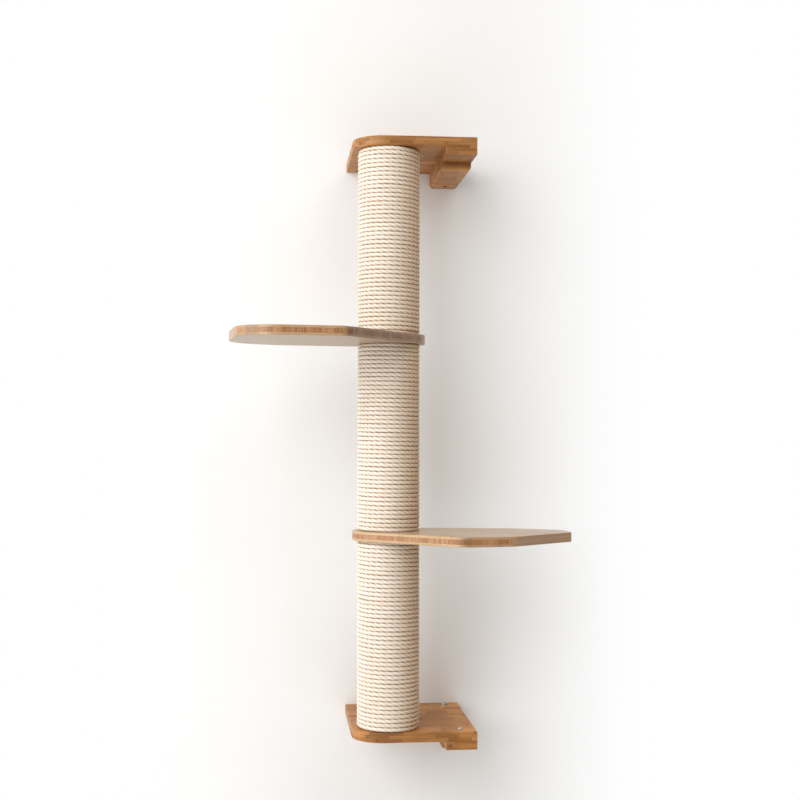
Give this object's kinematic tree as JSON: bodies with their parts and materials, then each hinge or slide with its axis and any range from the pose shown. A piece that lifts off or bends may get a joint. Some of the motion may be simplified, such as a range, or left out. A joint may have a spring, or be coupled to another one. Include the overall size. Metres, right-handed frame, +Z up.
{
  "type": "wall mounted cat tree",
  "caption": "Rope-wound post held off a wall by end boards on bracket blocks, with swivelling bamboo shelves clamped between its lengths.",
  "frame": {"origin": "midway between the two screw holes of the upper wall bracket, on the bracket's back face, which lies on the wall", "axes": "+Z up along the post, +Y into the wall, +X to the right seen from in front of the wall"},
  "size_m": [0.6734, 0.4756, 1.2326],
  "materials": {
    "block_bamboo": "satin oiled bamboo, caramel brown",
    "shelf_bamboo": "satin oiled bamboo, three plies",
    "rope": "matte twisted sisal",
    "tube_board": "matte wound paper board",
    "plug_wood": "raw plywood",
    "bracket_steel": "matte black powder coat",
    "bright_steel": "zinc plated"
  },
  "bodies": {
    "stand": {"bottom_board": "block_bamboo", "bottom_post_bolt": "bright_steel", "bottom_post_washer": "bright_steel", "lower_arm": "block_bamboo", "lower_arm_insert": "bright_steel", "lower_arm_screws": "bright_steel", "lower_core_tube": "tube_board", "lower_front_screw": "bright_steel", "lower_lock_bolt": "bright_steel", "lower_lock_washer": "bright_steel", "lower_post_bottom_plug": "plug_wood", "lower_post_tee_nuts": "bright_steel", "lower_post_top_plug": "plug_wood", "lower_rope": "rope", "lower_shelf_stud": "bright_steel", "lower_spacer": "block_bamboo", "lower_wall_bracket": "bracket_steel", "middle_core_tube": "tube_board", "middle_post_bottom_plug": "plug_wood", "middle_post_tee_nuts": "bright_steel", "middle_post_top_plug": "plug_wood", "middle_rope": "rope", "top_board": "block_bamboo", "top_post_bolt": "bright_steel", "top_post_washer": "bright_steel", "upper_arm": "block_bamboo", "upper_arm_insert": "bright_steel", "upper_arm_screws": "bright_steel", "upper_core_tube": "tube_board", "upper_front_screw": "bright_steel", "upper_lock_bolt": "bright_steel", "upper_lock_washer": "bright_steel", "upper_post_bottom_plug": "plug_wood", "upper_post_tee_nuts": "bright_steel", "upper_post_top_plug": "plug_wood", "upper_rope": "rope", "upper_shelf_stud": "bright_steel", "upper_spacer": "block_bamboo", "upper_wall_bracket": "bracket_steel"},
    "upper_shelf": {"upper_shelf": "shelf_bamboo"},
    "lower_shelf": {"lower_shelf": "shelf_bamboo"}
  },
  "joints": [
    {"name": "upper_shelf_swivel", "type": "hinge", "parent": "stand", "child": "upper_shelf", "pos_m": [-0.14, -0.223, -0.3665], "axis": [0, 0, 1], "range_deg": [-45, 170]},
    {"name": "lower_shelf_swivel", "type": "hinge", "parent": "stand", "child": "lower_shelf", "pos_m": [-0.14, -0.223, -0.7585], "axis": [0, 0, 1], "range_deg": [-185, 40]}
  ]
}
